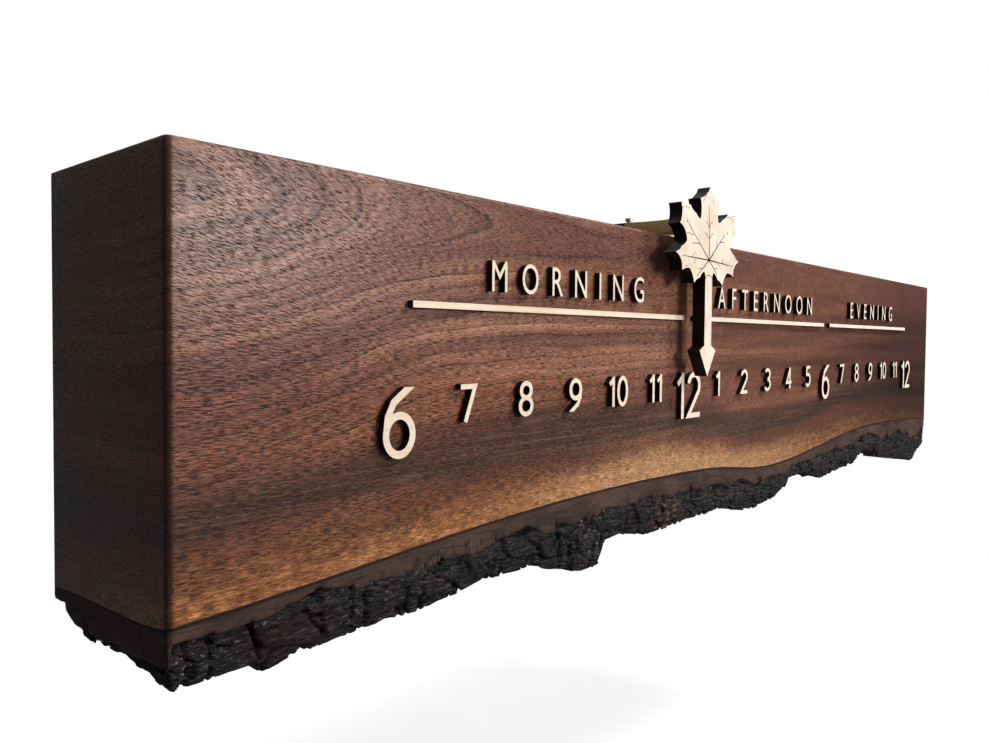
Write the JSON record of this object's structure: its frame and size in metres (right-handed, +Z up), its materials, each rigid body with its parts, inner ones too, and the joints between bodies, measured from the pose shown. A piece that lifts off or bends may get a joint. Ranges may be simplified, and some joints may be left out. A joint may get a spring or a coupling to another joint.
{
  "type": "wall clock",
  "caption": "Linear wall clock: live-edge wooden box with raised hours from morning to midnight and a leaf pointer that slides along them on a belt-driven carriage.",
  "frame": {"origin": "centre of the back board's rear face, on the wall", "axes": "+X along the clock towards midnight, +Y into the wall, +Z up"},
  "size_m": [0.91, 0.1094, 0.2282],
  "materials": {
    "walnut": "satin oiled walnut",
    "bark": "rough sealed bark",
    "plywood": "bare birch ply",
    "pale_ply": "laser-cut ply, burnt edges",
    "maple": "sanded maple",
    "aluminium": "anodised",
    "zinc_steel": "zinc plated",
    "steel": "machined",
    "black_steel": "satin black",
    "black_plastic": "matt",
    "grey_plastic": "matt",
    "rubber": "moulded",
    "circuit": "solder mask"
  },
  "bodies": {
    "case": {"back_board": "plywood", "back_board_screws": "steel", "backup_cell": "steel", "belt": "rubber", "board_screws": "steel", "board_standoffs": "aluminium", "bracket_screws": "steel", "controller_board": "circuit", "corner_blocks": "plywood", "front_bark": "bark", "front_panel": "walnut", "hanger_plates": "zinc_steel", "hanger_screws": "steel", "home_switch": "black_plastic", "idler_axle": "steel", "idler_bracket": "zinc_steel", "idler_nut": "steel", "left_bark": "bark", "left_return": "walnut", "motor_bracket": "zinc_steel", "motor_driver": "circuit", "motor_screws": "steel", "numerals_afternoon": "pale_ply", "numerals_evening": "pale_ply", "numerals_morning": "pale_ply", "power_jack": "black_plastic", "processor_module": "circuit", "rail": "aluminium", "rail_nuts": "steel", "rail_screws": "steel", "rail_spacers": "aluminium", "right_bark": "bark", "right_return": "walnut", "scale_bars": "pale_ply", "stepper_motor": "black_steel", "switch_screws": "steel"},
    "carriage": {"carriage_plate": "aluminium", "wheel_bolts": "steel", "wheel_spacers": "aluminium", "wheel_nuts": "steel", "belt_clamp": "black_plastic", "clamp_cap": "black_plastic", "clamp_screws": "steel", "pointer_post": "black_plastic", "post_screws": "steel", "arm": "maple", "arm_screw": "steel", "leaf_pointer": "pale_ply"},
    "wheel_upper_left": {"wheel_upper_left": "grey_plastic"},
    "wheel_upper_right": {"wheel_upper_right": "grey_plastic"},
    "wheel_lower": {"wheel_lower": "grey_plastic"},
    "drive": {"drive_pulley": "aluminium", "motor_shaft": "steel", "pulley_screw": "steel"},
    "idler": {"idler_pulley": "aluminium"},
    "switch_lever": {"switch_lever": "steel"},
    "forward_button": {"forward_button": "black_plastic"},
    "back_button": {"back_button": "black_plastic"}
  },
  "joints": [
    {"name": "carriage_slide", "type": "slide", "parent": "case", "child": "carriage", "axis": [1, 0, 0], "range_m": [-0.24, 0.48]},
    {"name": "wheel_upper_left_spin", "type": "hinge", "parent": "carriage", "child": "wheel_upper_left", "pos_m": [-0.14, -0.028, 0.0361], "axis": [0, 1, 0], "continuous": true},
    {"name": "wheel_upper_right_spin", "type": "hinge", "parent": "carriage", "child": "wheel_upper_right", "pos_m": [-0.1, -0.028, 0.0361], "axis": [0, 1, 0], "continuous": true},
    {"name": "wheel_lower_spin", "type": "hinge", "parent": "carriage", "child": "wheel_lower", "pos_m": [-0.12, -0.028, 0.0039], "axis": [0, 1, 0], "continuous": true},
    {"name": "drive_spin", "type": "hinge", "parent": "case", "child": "drive", "pos_m": [-0.409, -0.058, -0.026], "axis": [0, 1, 0], "continuous": true},
    {"name": "idler_spin", "type": "hinge", "parent": "case", "child": "idler", "pos_m": [0.409, -0.0615, -0.026], "axis": [0, 1, 0], "continuous": true},
    {"name": "lever_pivot", "type": "hinge", "parent": "case", "child": "switch_lever", "pos_m": [-0.3956, -0.0428, 0.0095], "axis": [0, 1, 0], "range_deg": [-8, 0], "stiffness_Nm_per_rad": 0.02},
    {"name": "forward_press", "type": "slide", "parent": "case", "child": "forward_button", "axis": [0, 0, 1], "range_m": [0, 0.001], "stiffness_N_per_m": 300},
    {"name": "back_press", "type": "slide", "parent": "case", "child": "back_button", "axis": [0, 0, 1], "range_m": [0, 0.001], "stiffness_N_per_m": 300}
  ],
  "couplings": [
    {"joint": "wheel_upper_left_spin", "follows": "carriage_slide", "rad_per_m": 145.99},
    {"joint": "wheel_upper_right_spin", "follows": "carriage_slide", "rad_per_m": 145.99},
    {"joint": "wheel_lower_spin", "follows": "carriage_slide", "rad_per_m": -145.99},
    {"joint": "drive_spin", "follows": "carriage_slide", "rad_per_m": 157.08},
    {"joint": "idler_spin", "follows": "carriage_slide", "rad_per_m": 157.08}
  ]
}
